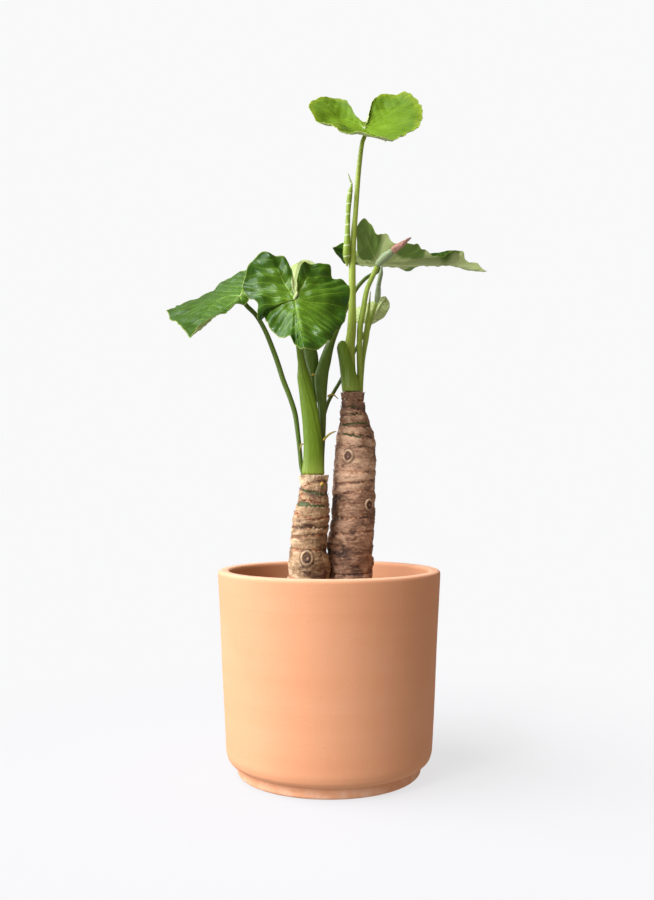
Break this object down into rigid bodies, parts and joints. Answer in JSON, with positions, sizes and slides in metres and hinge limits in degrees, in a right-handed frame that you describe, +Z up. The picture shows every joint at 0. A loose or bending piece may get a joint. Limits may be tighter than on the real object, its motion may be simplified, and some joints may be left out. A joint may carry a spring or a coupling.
{
  "type": "potted alocasia",
  "caption": "Alocasia with ringed trunks, broad leaves on long stalks and small flowers, growing in a straight-sided terracotta pot.",
  "frame": {"origin": "on the pot's axis, on the plane that its foot ring stands on", "axes": "+Z up along the pot's axis, -Y towards the side that the front leaf faces, +X to the right seen from there"},
  "size_m": [0.3907, 0.2596, 0.8287],
  "materials": {
    "terracotta": "unglazed fired clay, matte, faint turning bands",
    "drain_mesh": "matte dark mesh",
    "gravel": "loose rounded pebbles",
    "potting_mix": "loose dark bark and peat mix",
    "bark_tan": "ringed, papery bark with leaf scars",
    "bark_brown": "ringed, papery bark with leaf scars, darker",
    "stalk_bright": "smooth, slightly glossy green stalk",
    "stalk_dark": "smooth, slightly glossy dark green stalk",
    "leaf_dark": "thick glossy dark green leaf with pale veins",
    "leaf_bright": "satin yellow-green leaf with pale veins",
    "leaf_pale": "matte pale underside of a leaf",
    "spathe": "smooth pale green flower tube",
    "withered_spathe": "dry pinkish-brown flower limb",
    "straw": "dry yellow-brown sheath tip"
  },
  "bodies": {
    "root": {"pot": "terracotta", "drain_screen": "drain_mesh", "drainage_gravel": "gravel", "soil": "potting_mix", "left_trunk": "bark_tan", "right_trunk": "bark_brown", "side_bud": "straw", "front_leaf_stalk": "stalk_bright", "front_leaf_blade": "leaf_dark", "left_leaf_stalk": "stalk_dark", "left_leaf_blade": "leaf_bright", "back_leaf_stalk": "stalk_dark", "back_leaf_blade": "leaf_pale", "right_leaf_stalk": "stalk_dark", "right_leaf_blade": "leaf_bright", "rear_leaf_stalk": "stalk_dark", "rear_leaf_blade": "leaf_pale", "crown_leaf_stalk": "stalk_bright", "crown_leaf_blade": "leaf_bright", "rolled_leaf": "stalk_bright", "old_sheath": "stalk_bright", "flower_bract": "stalk_bright", "flower_1_stalk": "stalk_bright", "flower_1_tube": "spathe", "flower_1_limb": "withered_spathe", "flower_2_stalk": "stalk_bright", "flower_2_tube": "spathe", "flower_2_limb": "spathe", "withered_tip_yellow": "straw", "withered_tip_orange": "straw", "withered_tip_cream": "straw", "withered_tip_brown": "straw"}
  },
  "joints": []
}
